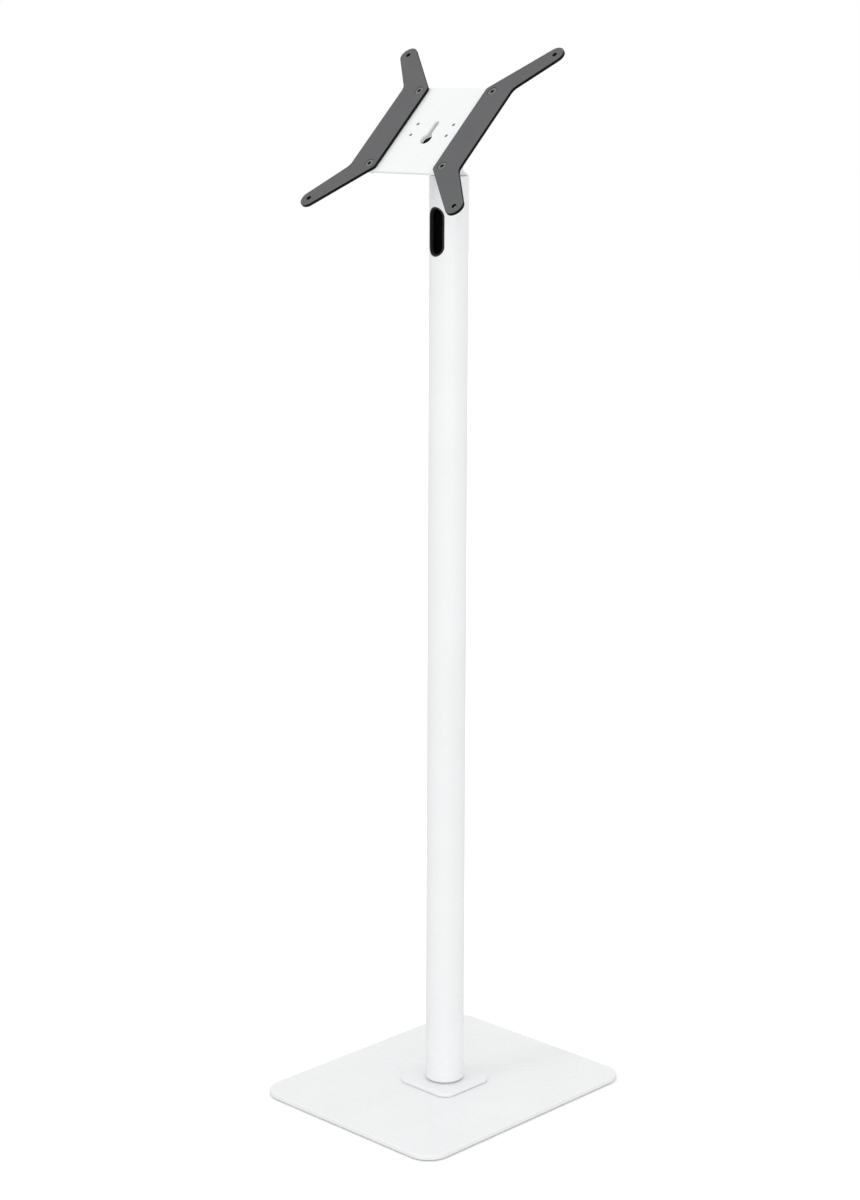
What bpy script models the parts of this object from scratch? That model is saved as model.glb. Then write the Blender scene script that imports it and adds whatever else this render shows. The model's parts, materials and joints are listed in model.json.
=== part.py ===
"""Pole stand for a customer-facing display, in metres with +Z up.

The origin is on the floor under the axis of the pole. The user stands on the -Y side.
Three bodies: the stand, the head that swivels on top of the pole, and the tilting plate
with its two arms. The tilting pieces are modelled lying flat around the tilt axis, with
their own +Z along the plate's normal, and an empty leans them back to the rest angle.
"""

import math

import bmesh
import bpy
from mathutils import Matrix, Vector

MM = 0.001
FIT = 0.3 * MM

# Base plate and foot
BASE_WIDTH = 249 * MM
BASE_DEPTH = 304.5 * MM
BASE_THICK = 5 * MM
BASE_CORNER = 25 * MM
PAD_RADIUS = 12 * MM
PAD_THICK = 0.9 * MM
PAD_X = 98 * MM
PAD_Y = 126 * MM
FOOT_SIZE = 72 * MM
FOOT_THICK = 3.8 * MM
FOOT_CORNER = 12.5 * MM
FOOT_SCREW_SPACING = 50 * MM
FOOT_SCREW_HEAD = 4.8 * MM
FOOT_SCREW_SHANK = 2.5 * MM
BASE_BOLT_HEAD = 9 * MM
BASE_BOLT_SHANK = 5 * MM
HEAD_RIM = 0.4 * MM
RING_INNER = 13 * MM
RING_OUTER = 18.8 * MM
RING_THICK = 1.1 * MM
PLUG_HEIGHT = 26 * MM

# Pole
POLE_RADIUS = 20 * MM
POLE_WALL = 2 * MM
POLE_TOP = 964.8 * MM
BORE_RADIUS = POLE_RADIUS - POLE_WALL
SLOT_WIDTH = 20.6 * MM
SLOT_HEIGHT = 49.6 * MM
SLOT_LIP = 2 * MM
LINER_FLANGE = 2.5 * MM
LINER_THICK = 1.5 * MM
TOP_SLOT_Z = 909.8 * MM
LOW_SLOT_Z = 75 * MM

# Swivel head
SPIGOT_RADIUS = 15.2 * MM
SPIGOT_LENGTH = 26 * MM
BUSH_LENGTH = 27 * MM
NECK_RADIUS = 11 * MM
HEAD_GAP = 0.3 * MM
LOCK_Z = 951 * MM
LOCK_RADIUS = 2.7 * MM
LOCK_GROOVE = 2 * MM
LOCK_TIP = SPIGOT_RADIUS - LOCK_GROOVE + 0.4 * MM
LOCK_HEAD = 19.6 * MM
YOKE_FRONT = -4.5 * MM
YOKE_REAR = 12.2 * MM
YOKE_RIM = 1.2 * MM
YOKE_SHOULDER = 5.1 * MM
YOKE_FLOOR = 12.3 * MM
YOKE_HALF_WIDTH = 15.4 * MM
YOKE_GAP = 10.4 * MM
BOSS_RADIUS = 11 * MM
PIVOT_Y = -6.4 * MM
PIVOT_Z = 991.8 * MM
PIVOT_BOLT_RADIUS = 4 * MM
PIVOT_WASHER_THICK = 1.6 * MM
PIVOT_NUT_HEIGHT = 7.6 * MM

# Tilting plate, heights above the tilt axis along the plate's normal
TILT_REST = math.radians(45)
LUG_HALF_WIDTH = 8 * MM
FLANGE_WIDTH = 62 * MM
FLANGE_DEPTH = 36 * MM
FLANGE_SHIFT = -4 * MM
FLANGE_LOW = 20.2 * MM
POCKET_FLOOR = 13 * MM
PLATE_LOW = 23.5 * MM
PLATE_SIZE = 115 * MM
PLATE_THICK = 3 * MM
PLATE_CORNER = 5 * MM
ARM_LOW = PLATE_LOW + PLATE_THICK + FIT
ARM_THICK = 3.2 * MM
FLANGE_SCREW_X = 24.3 * MM
FLANGE_SCREW_Y = 7.4 * MM
FLANGE_SCREW_HEAD = 2.8 * MM
FLANGE_SCREW_SHANK = 1.35 * MM
PLATE_SCREW_HOLE = 1.9 * MM
VESA_INNER = 50 * MM
VESA_OUTER = 100 * MM
ARM_INNER_EDGE = 40.1 * MM
ARM_OUTER_EDGE = 74.5 * MM
ARM_BEND = 54 * MM
ARM_TIP_RADIUS = 9.8 * MM
TIP_HOLE = 2.5 * MM
ARM_SCREW_HEAD = 4.7 * MM
ARM_SCREW_SHANK = 2.5 * MM
ARM_SCREW_DEPTH = 0.2 * MM
ARM_NUT_FLATS = 8 * MM
ARM_NUT_HEIGHT = 4 * MM
KEYHOLE_RADIUS = 6.8 * MM
KEYHOLE_SLOT = 3.3 * MM
KEYHOLE_LOW = -12 * MM
KEYHOLE_HIGH = 8.4 * MM

BASE_LOW = PAD_THICK + FIT
BASE_TOP = BASE_LOW + BASE_THICK
HEAD_FACE = BASE_LOW + FIT
FOOT_LOW = BASE_TOP + FIT
FOOT_TOP = FOOT_LOW + FOOT_THICK
FOOT_SCREW_TIP = FOOT_LOW + 2.1 * MM
RING_LOW = FOOT_TOP + FIT
POLE_LOW = RING_LOW + RING_THICK + FIT

# Reach of a cutter that goes right through a piece
THROUGH = 60 * MM


# ---------------------------------------------------------------- materials

def material(name, colour, roughness, metallic=0.0):
    made = bpy.data.materials.new(name)
    made.use_nodes = True
    shader = made.node_tree.nodes["Principled BSDF"]
    shader.inputs["Base Color"].default_value = (*colour, 1)
    shader.inputs["Roughness"].default_value = roughness
    shader.inputs["Metallic"].default_value = metallic
    return made


# ---------------------------------------------------------------- outlines

def arc(centre, radius, start, end, steps):
    """Points from one angle to another, in degrees, both ends included."""
    turns = [math.radians(start + (end - start) * i / steps) for i in range(steps + 1)]
    return [(centre[0] + radius * math.cos(a), centre[1] + radius * math.sin(a)) for a in turns]


def rounded(corners, steps=6):
    """A polygon's outline from (x, y, radius) corners, each turned into an arc of its radius."""
    points = []
    for i, (x, y, radius) in enumerate(corners):
        here = Vector((x, y))
        if radius == 0:
            points.append((x, y))
            continue
        back = (Vector(corners[i - 1][:2]) - here).normalized()
        ahead = (Vector(corners[(i + 1) % len(corners)][:2]) - here).normalized()
        half = math.acos(max(-1, min(1, back.dot(ahead)))) / 2
        centre = here + (back + ahead).normalized() * (radius / math.sin(half))
        start = here + back * (radius / math.tan(half)) - centre
        end = here + ahead * (radius / math.tan(half)) - centre
        turn = start.angle_signed(end)
        for k in range(steps + 1):
            spoke = Matrix.Rotation(-turn * k / steps, 2) @ start
            points.append(tuple(centre + spoke))
    return points


def rectangle(width, depth, radius=0.0, steps=6):
    x, y = width / 2, depth / 2
    return rounded([(x, -y, radius), (x, y, radius), (-x, y, radius), (-x, -y, radius)], steps)


def obround(width, height, steps=10):
    """An upright slot outline with half-round ends."""
    reach = (height - width) / 2
    return (arc((0, reach), width / 2, 0, 180, steps)
            + arc((0, -reach), width / 2, 180, 360, steps))


def tangent(point, centre, radius, side):
    """Where the line from the point touches the circle, on its left (1) or right (-1) side."""
    away = Vector(centre) - Vector(point)
    angle = math.atan2(away.y, away.x) + side * math.asin(radius / away.length)
    reach = math.sqrt(away.length ** 2 - radius ** 2)
    return (point[0] + reach * math.cos(angle), point[1] + reach * math.sin(angle))


# ---------------------------------------------------------------- solids

def make(name, mesh_data, skin, parent=None):
    """An object from a bmesh, smooth except at its sharp edges."""
    bmesh.ops.recalc_face_normals(mesh_data, faces=mesh_data.faces)
    mesh = bpy.data.meshes.new(name)
    mesh_data.to_mesh(mesh)
    mesh_data.free()
    return place(name, mesh, skin, parent)


def place(name, mesh, skin, parent=None, where=(0, 0, 0)):
    mesh.shade_smooth()
    mesh.set_sharp_from_angle(angle=math.radians(35))
    made = bpy.data.objects.new(name, mesh)
    bpy.context.scene.collection.objects.link(made)
    if skin is not None and not mesh.materials:
        mesh.materials.append(skin)
    made.parent = parent
    made.location = where
    return made


def prism(outline, low, high):
    """The outline in X and Y, extruded along Z."""
    solid = bmesh.new()
    lower = [solid.verts.new((x, y, low)) for x, y in outline]
    upper = [solid.verts.new((x, y, high)) for x, y in outline]
    solid.faces.new(lower)
    solid.faces.new(upper)
    for i in range(len(outline)):
        solid.faces.new((lower[i - 1], lower[i], upper[i], upper[i - 1]))
    return solid


def turned(profile, segments=32):
    """A closed outline of (radius, height) points turned about Z."""
    solid = bmesh.new()
    rings = []
    for radius, height in profile:
        if radius == 0:
            rings.append([solid.verts.new((0, 0, height))])
            continue
        turns = [2 * math.pi * k / segments for k in range(segments)]
        spots = [(radius * math.cos(a), radius * math.sin(a), height) for a in turns]
        rings.append([solid.verts.new(spot) for spot in spots])
    pairs = list(zip(rings, rings[1:]))
    if profile[0][0] and profile[-1][0]:
        pairs.append((rings[-1], rings[0]))
    for first, second in pairs:
        for k in range(segments):
            corners = [first[k - 1], first[k % len(first)]] if len(first) > 1 else [first[0]]
            corners += [second[k], second[k - 1]] if len(second) > 1 else [second[0]]
            solid.faces.new(corners)
    return solid


def rod(radius, low, high, segments=24):
    return turned([(0, low), (radius, low), (radius, high), (0, high)], segments)


def tube(inner, outer, low, high, segments=32):
    return turned([(inner, low), (outer, low), (outer, high), (inner, high)], segments)


def facing(solid, towards):
    """Turns a solid so that its Z axis points along +X, -X, +Y or -Y."""
    turns = {"+X": ("Y", 90), "-X": ("Y", -90), "+Y": ("X", -90), "-Y": ("X", 90)}
    axis, degrees = turns[towards]
    solid.transform(Matrix.Rotation(math.radians(degrees), 4, axis))
    return solid


def shifted(solid, x=0.0, y=0.0, z=0.0):
    solid.transform(Matrix.Translation((x, y, z)))
    return solid


def side_prism(outline, low, high):
    """An outline given in Y and Z, extruded along X."""
    solid = prism(outline, low, high)
    solid.transform(Matrix(((0, 0, 1, 0), (1, 0, 0, 0), (0, 1, 0, 0), (0, 0, 0, 1))))
    return solid


def front_prism(outline, y_low, y_high, height):
    """An outline given in X and Z around a height, extruded along Y."""
    solid = prism(outline, y_low, y_high)
    solid.transform(Matrix(((1, 0, 0, 0), (0, 0, 1, 0), (0, 1, 0, 0), (0, 0, 0, 1))))
    return shifted(solid, z=height)


# ---------------------------------------------------------------- modifiers

def combine(target, other, operation):
    """A Boolean with a helper object that is neither built nor rendered."""
    other.hide_render = True
    other.display_type = "WIRE"
    step = target.modifiers.new(operation.lower(), "BOOLEAN")
    step.operation = operation
    step.solver = "EXACT"
    step.object = other
    return target


def cut(target, solid, parent=None):
    return combine(target, make(f"{target.name}_cut", solid, None, parent), "DIFFERENCE")


def join(target, solid, parent=None):
    return combine(target, make(f"{target.name}_join", solid, None, parent), "UNION")


def soften(target, width, segments=1):
    step = target.modifiers.new("soften", "BEVEL")
    step.width = width
    step.segments = segments
    step.limit_method = "ANGLE"
    step.angle_limit = math.radians(40)
    return target


def finished_mesh(target):
    """The object's mesh with its modifiers applied, for copies to share."""
    graph = bpy.context.evaluated_depsgraph_get()
    mesh = bpy.data.meshes.new_from_object(target.evaluated_get(graph))
    target.hide_render = True
    target.display_type = "WIRE"
    return mesh


# ---------------------------------------------------------------- stand

def countersunk(head, shank, face, tip):
    """Profile of a countersunk screw pointing up, from its head's face to its tip."""
    neck = face + HEAD_RIM + head - shank
    return [(0, face), (head, face), (head, face + HEAD_RIM), (shank, neck), (shank, tip), (0, tip)]


def countersink(head, shank, face, tip):
    """Profile of the hole for such a screw, open below its head."""
    mouth = face - 5 * MM
    neck = face + HEAD_RIM + head - shank
    return [(0, mouth), (head + FIT, mouth), (head + FIT, face + HEAD_RIM), (shank + FIT, neck),
            (shank + FIT, tip), (0, tip)]


def hanging(profile, top):
    """The same profile upside down, measured down from a height."""
    return [(radius, top - height) for radius, height in profile]


def hexagon(across_flats):
    return arc((0, 0), across_flats / math.sqrt(3), 0, 300, 5)


def foot_screw_places():
    reach = FOOT_SCREW_SPACING / 2
    return [(x, y) for y in (-reach, reach) for x in (-reach, reach)]


def base_plate(skin):
    outline = rectangle(BASE_WIDTH, BASE_DEPTH, BASE_CORNER, 9)
    plate = make("base_plate", prism(outline, BASE_LOW, BASE_TOP), skin)
    soften(plate, 0.7 * MM)
    above = BASE_TOP + MM
    cut(plate, turned(countersink(BASE_BOLT_HEAD, BASE_BOLT_SHANK, HEAD_FACE, above), 24))
    for x, y in foot_screw_places():
        hole = countersink(FOOT_SCREW_HEAD, FOOT_SCREW_SHANK, HEAD_FACE, above)
        cut(plate, shifted(turned(hole, 16), x, y))


def base_pads(skin):
    mesh = finished_mesh(make("base_pad_guide", rod(PAD_RADIUS, 0, PAD_THICK), skin))
    for depth, y in (("front", -PAD_Y), ("rear", PAD_Y)):
        for side, x in (("left", -PAD_X), ("right", PAD_X)):
            place(f"base_pad_{depth}_{side}", mesh, skin, where=(x, y, 0))


def foot_plate(skin):
    outline = rectangle(FOOT_SIZE, FOOT_SIZE, FOOT_CORNER, 8)
    plate = make("foot_plate", prism(outline, FOOT_LOW, FOOT_TOP), skin)
    soften(plate, 0.6 * MM)
    cut(plate, rod(BASE_BOLT_SHANK + FIT, FOOT_LOW - MM, FOOT_TOP + MM))
    hole_top = FOOT_SCREW_TIP + FIT
    for x, y in foot_screw_places():
        cut(plate, shifted(rod(FOOT_SCREW_SHANK + FIT, FOOT_LOW - MM, hole_top, 12), x, y))


def foot_fasteners(steel):
    profile = countersunk(BASE_BOLT_HEAD, BASE_BOLT_SHANK, HEAD_FACE, POLE_LOW + 20 * MM)
    bolt = make("base_bolt", turned(profile, 24), steel)
    cut(bolt, prism(hexagon(6 * MM), HEAD_FACE - MM, HEAD_FACE + 3.4 * MM))
    profile = countersunk(FOOT_SCREW_HEAD, FOOT_SCREW_SHANK, HEAD_FACE, FOOT_SCREW_TIP)
    screw = make("foot_screw_guide", turned(profile, 16), steel)
    cut(screw, prism(hexagon(3 * MM), HEAD_FACE - MM, HEAD_FACE + 1.9 * MM))
    mesh = finished_mesh(screw)
    for number, (x, y) in enumerate(foot_screw_places(), 1):
        place(f"foot_screw_{number}", mesh, steel, where=(x, y, 0))


def pole(white):
    shell = make("pole_tube", tube(BORE_RADIUS, POLE_RADIUS, POLE_LOW, POLE_TOP, 64), white)
    window = obround(SLOT_WIDTH, SLOT_HEIGHT)
    cut(shell, front_prism(window, -2 * POLE_RADIUS, 0, TOP_SLOT_Z))
    cut(shell, front_prism(window, 0, 2 * POLE_RADIUS, LOW_SLOT_Z))
    cut(shell, lock_hole())


def lock_hole():
    """The hole for the swivel's lock screw, through the wall behind."""
    return shifted(facing(rod(LOCK_RADIUS + FIT, 5 * MM, THROUGH), "+Y"), z=LOCK_Z)


def pole_bottom(rubber, steel):
    make("pole_seal_ring", tube(RING_INNER, RING_OUTER, RING_LOW, RING_LOW + RING_THICK), rubber)
    core = make("pole_base_plug", rod(BORE_RADIUS - FIT, POLE_LOW, POLE_LOW + PLUG_HEIGHT, 32), steel)
    cut(core, rod(BASE_BOLT_SHANK + FIT, POLE_LOW - MM, POLE_LOW + PLUG_HEIGHT - 4 * MM))


def cable_grommet(name, rubber, side, height):
    """A liner clipped in a slot: flush with the pole outside, with a lip behind the wall.

    Its section of six (inset from the slot, distance from the pole's axis) points follows the slot round.
    """
    outside, inside = BORE_RADIUS - FIT, BORE_RADIUS - FIT - LINER_THICK
    section = [(SLOT_LIP, POLE_RADIUS), (FIT, POLE_RADIUS), (FIT, outside),
               (-LINER_FLANGE, outside), (-LINER_FLANGE, inside), (SLOT_LIP, inside)]
    liner = bmesh.new()
    loops = []
    for inset, reach in section:
        outline = obround(SLOT_WIDTH - 2 * inset, SLOT_HEIGHT - 2 * inset)
        spots = [(x, side * math.sqrt(reach ** 2 - x ** 2), height + z) for x, z in outline]
        loops.append([liner.verts.new(spot) for spot in spots])
    for first, second in zip(loops, loops[1:] + loops[:1]):
        for k in range(len(first)):
            liner.faces.new((first[k - 1], first[k], second[k], second[k - 1]))
    make(name, liner, rubber)


def head_bush(plastic):
    inner = SPIGOT_RADIUS + FIT
    low, high = POLE_TOP - BUSH_LENGTH, POLE_TOP - HEAD_GAP
    bush = make("head_bush", tube(inner, BORE_RADIUS - FIT, low, high), plastic)
    cut(bush, lock_hole())


def lock_screw(steel):
    grub = shifted(facing(rod(LOCK_RADIUS, LOCK_TIP, LOCK_HEAD), "+Y"), z=LOCK_Z)
    socket = facing(prism(hexagon(3 * MM), LOCK_HEAD - 2.6 * MM, LOCK_HEAD + MM), "+Y")
    cut(make("swivel_lock_screw", grub, steel), shifted(socket, z=LOCK_Z))


# ---------------------------------------------------------------- swivel head

def yoke_outline():
    """Side view of the yoke in Y and Z: a low shoulder behind and cheeks that lean to the tilt axis."""
    foot = POLE_TOP + HEAD_GAP
    rear = PIVOT_Y + BOSS_RADIUS
    front = PIVOT_Y - BOSS_RADIUS
    base = rounded([(YOKE_FRONT, foot, 0), (YOKE_REAR, foot, 0), (YOKE_REAR, foot + YOKE_RIM, 1 * MM),
                    (rear, foot + YOKE_SHOULDER, 2 * MM), (rear, PIVOT_Z, 0)], 4)
    lean = rounded([(front, PIVOT_Z, 0), (front, PIVOT_Z - 7 * MM, 9 * MM), (YOKE_FRONT, foot, 0)], 5)
    return base[:-1] + arc((PIVOT_Y, PIVOT_Z), BOSS_RADIUS, 0, 180, 14) + lean[1:-1]


def yoke(parent, cast):
    half = YOKE_HALF_WIDTH
    body = make("head_yoke", side_prism(yoke_outline(), -half, half), cast, parent)
    soften(body, 0.8 * MM)
    foot, collar, core = POLE_TOP - SPIGOT_LENGTH, POLE_TOP - HEAD_GAP, POLE_TOP + 4 * MM
    groove_low, groove_high = LOCK_Z - 3.6 * MM, LOCK_Z + 3.6 * MM
    spigot = [(0, foot), (SPIGOT_RADIUS - MM, foot), (SPIGOT_RADIUS, foot + MM),
              (SPIGOT_RADIUS, groove_low), (SPIGOT_RADIUS - LOCK_GROOVE, groove_low),
              (SPIGOT_RADIUS - LOCK_GROOVE, groove_high), (SPIGOT_RADIUS, groove_high),
              (SPIGOT_RADIUS, collar), (NECK_RADIUS, collar), (NECK_RADIUS, core), (0, core)]
    join(body, turned(spigot), parent)
    slot = rectangle(2 * YOKE_GAP, 2 * THROUGH)
    cut(body, prism(slot, PIVOT_Z - YOKE_FLOOR, PIVOT_Z + THROUGH), parent)
    hole = facing(rod(PIVOT_BOLT_RADIUS + FIT, -THROUGH, THROUGH), "+X")
    cut(body, shifted(hole, y=PIVOT_Y, z=PIVOT_Z), parent)


def washer(name, parent, skin, outer, low, high):
    ring = facing(tube(PIVOT_BOLT_RADIUS + FIT, outer, low, high, 24), "+X")
    make(name, shifted(ring, y=PIVOT_Y, z=PIVOT_Z), skin, parent)


def pivot_fasteners(parent, steel, plastic):
    inside = LUG_HALF_WIDTH + FIT
    outside = YOKE_HALF_WIDTH + FIT
    washer("friction_washer_right", parent, plastic, 10 * MM, inside, YOKE_GAP - FIT)
    washer("friction_washer_left", parent, plastic, 10 * MM, -(YOKE_GAP - FIT), -inside)
    washer("pivot_washer_right", parent, steel, 8.5 * MM, outside, outside + PIVOT_WASHER_THICK)
    washer("pivot_washer_left", parent, steel, 8.5 * MM, -outside - PIVOT_WASHER_THICK, -outside)
    face = outside + PIVOT_WASHER_THICK + FIT
    shank = PIVOT_BOLT_RADIUS
    tip = -face - PIVOT_NUT_HEIGHT - 0.8 * MM
    profile = [(0, tip), (shank - 0.5 * MM, tip), (shank, tip + 0.5 * MM), (shank, face), (7 * MM, face),
               (7 * MM, face + 1.4 * MM), (6.2 * MM, face + 3.2 * MM), (4.6 * MM, face + 4.4 * MM),
               (0, face + 4.4 * MM)]
    bolt = shifted(facing(turned(profile, 24), "+X"), y=PIVOT_Y, z=PIVOT_Z)
    bolt = make("pivot_bolt", bolt, steel, parent)
    socket = facing(prism(hexagon(5 * MM), face + 1.6 * MM, face + 8 * MM), "+X")
    cut(bolt, shifted(socket, y=PIVOT_Y, z=PIVOT_Z), parent)
    nut = facing(prism(hexagon(13 * MM), face, face + PIVOT_NUT_HEIGHT), "-X")
    nut = make("pivot_nut", shifted(nut, y=PIVOT_Y, z=PIVOT_Z), steel, parent)
    bore = facing(rod(shank + FIT, -THROUGH, THROUGH), "+X")
    cut(nut, shifted(bore, y=PIVOT_Y, z=PIVOT_Z), parent)


# ---------------------------------------------------------------- tilting plate and arms

def four(x, y):
    return [(sx * x, sy * y) for sy in (-1, 1) for sx in (-1, 1)]


def knuckle(parent, cast):
    """A lug between the yoke's cheeks, with a flange that carries the plate.

    A round pocket behind the keyhole leaves room for the head of the screw that hangs in it.
    """
    side = arc((0, 0), BOSS_RADIUS, 180, 360, 16)
    side += [(BOSS_RADIUS, FLANGE_LOW + 1.5 * MM), (-BOSS_RADIUS, FLANGE_LOW + 1.5 * MM)]
    body = make("tilt_knuckle", side_prism(side, -LUG_HALF_WIDTH, LUG_HALF_WIDTH), cast, parent)
    flange = prism(rectangle(FLANGE_WIDTH, FLANGE_DEPTH, 5 * MM), FLANGE_LOW, PLATE_LOW - FIT)
    join(body, shifted(flange, y=FLANGE_SHIFT), parent)
    cut(body, facing(rod(PIVOT_BOLT_RADIUS + FIT, -THROUGH, THROUGH), "+X"), parent)
    cut(body, shifted(rod(KEYHOLE_RADIUS, POCKET_FLOOR, THROUGH), y=KEYHOLE_LOW), parent)
    for x, y in four(FLANGE_SCREW_X, FLANGE_SCREW_Y):
        cut(body, shifted(rod(FLANGE_SCREW_SHANK + FIT, POCKET_FLOOR, THROUGH, 12), x, y), parent)


def keyhole():
    """A round hole with a narrow slot rising from it, as one outline."""
    meet = math.degrees(math.asin(KEYHOLE_SLOT / KEYHOLE_RADIUS))
    return (arc((0, KEYHOLE_LOW), KEYHOLE_RADIUS, 90 + meet, 450 - meet, 24)
            + arc((0, KEYHOLE_HIGH), KEYHOLE_SLOT, 0, 180, 10))


def vesa_plate(parent, white):
    outline = rectangle(PLATE_SIZE, PLATE_SIZE, PLATE_CORNER)
    plate = make("vesa_plate", prism(outline, PLATE_LOW, PLATE_LOW + PLATE_THICK), white, parent)
    soften(plate, 0.4 * MM)
    cut(plate, prism(keyhole(), 0, THROUGH), parent)
    for x, y in four(FLANGE_SCREW_X, FLANGE_SCREW_Y):
        cut(plate, shifted(rod(PLATE_SCREW_HOLE, 0, THROUGH, 16), x, y), parent)
    for x, y in four(VESA_INNER, VESA_INNER):
        cut(plate, shifted(rod(ARM_SCREW_SHANK + FIT, 0, THROUGH, 16), x, y), parent)


def arm_outline(side):
    """A boomerang: a straight bar beside the plate with a leg to each outer hole."""
    tip = (VESA_OUTER, VESA_OUTER)
    inner = (ARM_INNER_EDGE, ARM_BEND)
    outer = (ARM_OUTER_EDGE, ARM_BEND)
    left = tangent(inner, tip, ARM_TIP_RADIUS, 1)
    right = tangent(outer, tip, ARM_TIP_RADIUS, -1)
    start = math.degrees(math.atan2(left[1] - tip[1], left[0] - tip[0]))
    end = math.degrees(math.atan2(right[1] - tip[1], right[0] - tip[0]))
    bend = rounded([(ARM_INNER_EDGE, 0, 0), (*inner, 6 * MM), (*left, 0)], 5)[1:-1]
    crook = rounded([(*right, 0), (*outer, 12 * MM), (ARM_OUTER_EDGE, 0, 0)], 5)[1:-1]
    upper = bend + arc(tip, ARM_TIP_RADIUS, start, end, 16) + crook
    both = upper + [(x, -y) for x, y in reversed(upper)]
    return [(side * x, y) for x, y in both]


def arm(name, parent, side, dark):
    high = ARM_LOW + ARM_THICK
    bar = make(name, prism(arm_outline(side), ARM_LOW, high), dark, parent)
    soften(bar, 0.35 * MM)
    sink = hanging(countersink(ARM_SCREW_HEAD, ARM_SCREW_SHANK, 0, 10 * MM), high - ARM_SCREW_DEPTH)
    for y in (-VESA_INNER, VESA_INNER):
        cut(bar, shifted(turned(sink, 24), side * VESA_INNER, y), parent)
    for y in (-VESA_OUTER, VESA_OUTER):
        cut(bar, shifted(rod(TIP_HOLE, 0, THROUGH), side * VESA_OUTER, y), parent)


def arm_fasteners(parent, dark, steel):
    top = ARM_LOW + ARM_THICK - ARM_SCREW_DEPTH
    length = top - PLATE_LOW + 4.9 * MM
    profile = hanging(countersunk(ARM_SCREW_HEAD, ARM_SCREW_SHANK, 0, length), top)
    screw = make("arm_screw_guide", turned(profile, 20), dark, parent)
    cut(screw, prism(hexagon(3.2 * MM), top - 2 * MM, top + MM), parent)
    screw_mesh = finished_mesh(screw)
    nut_top = PLATE_LOW - FIT
    nut = prism(hexagon(ARM_NUT_FLATS), nut_top - ARM_NUT_HEIGHT, nut_top)
    nut = make("arm_nut_guide", nut, steel, parent)
    cut(nut, rod(ARM_SCREW_SHANK + FIT, 0, THROUGH, 16), parent)
    nut_mesh = finished_mesh(nut)
    for number, (x, y) in enumerate(four(VESA_INNER, VESA_INNER), 1):
        place(f"arm_screw_{number}", screw_mesh, dark, parent, (x, y, 0))
        place(f"arm_nut_{number}", nut_mesh, steel, parent, (x, y, 0))


def flange_fasteners(parent, black):
    head = FLANGE_LOW - FIT
    tip = PLATE_LOW + PLATE_THICK - 0.8 * MM
    profile = [(0, head - 2 * MM), (FLANGE_SCREW_HEAD - 0.6 * MM, head - 2 * MM),
               (FLANGE_SCREW_HEAD, head - 1.4 * MM), (FLANGE_SCREW_HEAD, head),
               (FLANGE_SCREW_SHANK, head), (FLANGE_SCREW_SHANK, tip), (0, tip)]
    screw = make("flange_screw_guide", turned(profile, 12), black, parent)
    cut(screw, prism(hexagon(2 * MM), head - 4 * MM, head - 0.8 * MM), parent)
    mesh = finished_mesh(screw)
    for number, (x, y) in enumerate(four(FLANGE_SCREW_X, FLANGE_SCREW_Y), 1):
        place(f"flange_screw_{number}", mesh, black, parent, (x, y, 0))


# ---------------------------------------------------------------- the whole

def empty(name, where, parent=None, lean=0.0):
    made = bpy.data.objects.new(name, None)
    bpy.context.scene.collection.objects.link(made)
    made.parent = parent
    made.location = where
    made.rotation_euler = (lean, 0, 0)
    return made


def main():
    for old in list(bpy.data.objects):
        bpy.data.objects.remove(old)
    white = material("white_powder_coat", (0.87, 0.88, 0.88), 0.38)
    grey = material("dark_grey_powder_coat", (0.145, 0.147, 0.15), 0.5)
    cast = material("white_painted_casting", (0.84, 0.85, 0.85), 0.42)
    black = material("black_steel", (0.02, 0.02, 0.021), 0.35, 0.8)
    steel = material("zinc_steel", (0.55, 0.55, 0.54), 0.32, 1.0)
    rubber = material("black_rubber", (0.012, 0.012, 0.012), 0.7)
    plastic = material("black_acetal", (0.02, 0.02, 0.022), 0.45)

    base_plate(white)
    base_pads(rubber)
    foot_plate(white)
    foot_fasteners(steel)
    pole(white)
    pole_bottom(rubber, steel)
    cable_grommet("cable_grommet_top", rubber, -1, TOP_SLOT_Z)
    cable_grommet("cable_grommet_bottom", rubber, 1, LOW_SLOT_Z)
    head_bush(plastic)
    lock_screw(black)

    swivel = empty("swivel_axis", (0, 0, 0))
    yoke(swivel, cast)
    pivot_fasteners(swivel, steel, plastic)

    tilt = empty("tilt_axis", (0, PIVOT_Y, PIVOT_Z), swivel, TILT_REST)
    knuckle(tilt, cast)
    vesa_plate(tilt, white)
    arm("arm_left", tilt, -1, grey)
    arm("arm_right", tilt, 1, grey)
    arm_fasteners(tilt, grey, steel)
    flange_fasteners(tilt, black)


main()
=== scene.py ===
"""Looks of the pole stand: refined meshes and finishes for each piece, a pale studio and a camera."""

import json
import math

import bmesh
import bpy
from mathutils import Matrix, Vector


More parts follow.
